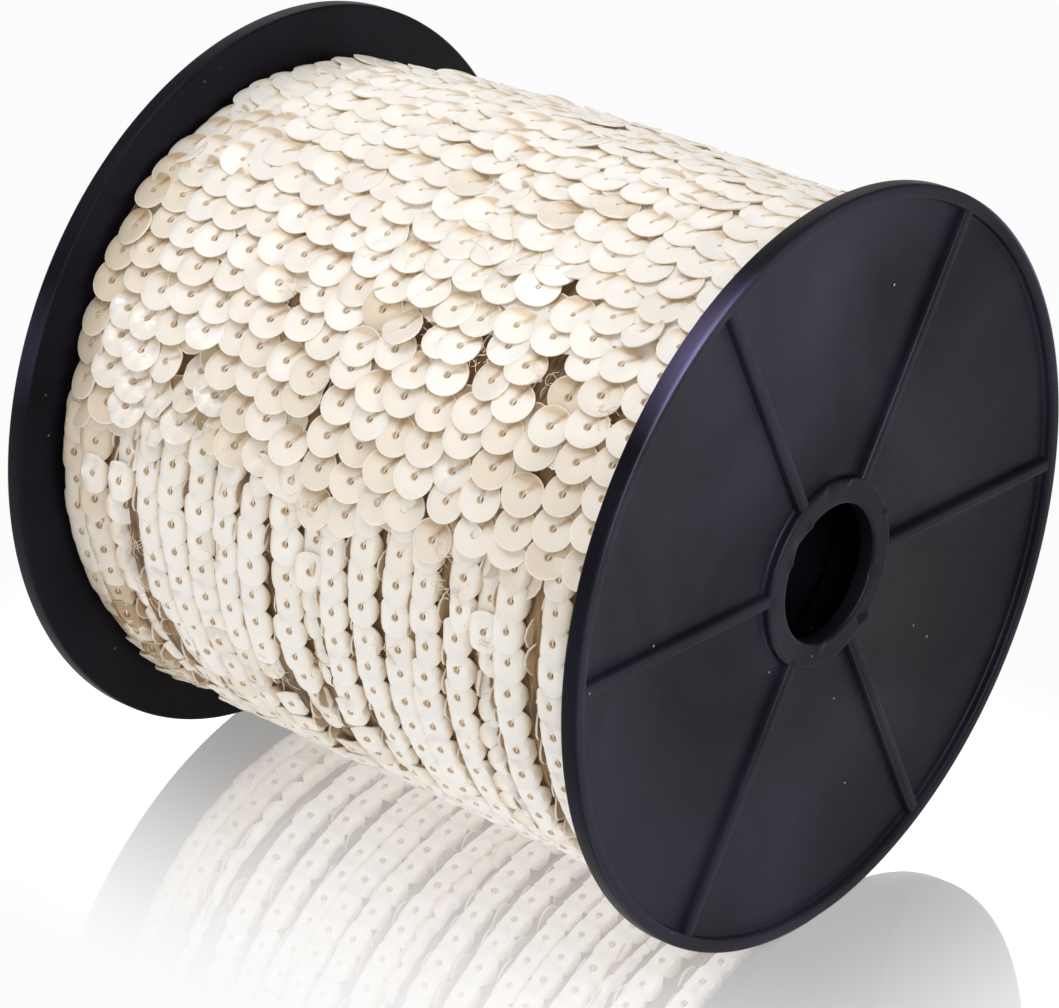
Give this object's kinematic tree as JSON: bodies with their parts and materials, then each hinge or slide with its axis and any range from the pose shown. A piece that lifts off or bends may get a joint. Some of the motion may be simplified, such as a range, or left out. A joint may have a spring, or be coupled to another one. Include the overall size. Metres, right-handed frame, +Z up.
{
  "type": "sequin trim wound on a flanged plastic reel",
  "caption": "String of flat round ivory sequins wound in side-by-side turns on a black plastic reel with ribbed flanges and an open bore.",
  "frame": {"origin": "on the surface that the reel lies on, under the middle of the reel", "axes": "+X along the reel's axis towards the near flange, +Z up, -Y towards the front where the top layer of trim ends"},
  "size_m": [0.107, 0.114, 0.1137],
  "materials": {
    "sequin_film": "pearl satin",
    "reel_plastic": "satin"
  },
  "bodies": {
    "root": {"trim_winding": "sequin_film", "barrel": "reel_plastic", "flange_near": "reel_plastic", "flange_far": "reel_plastic"}
  },
  "joints": []
}
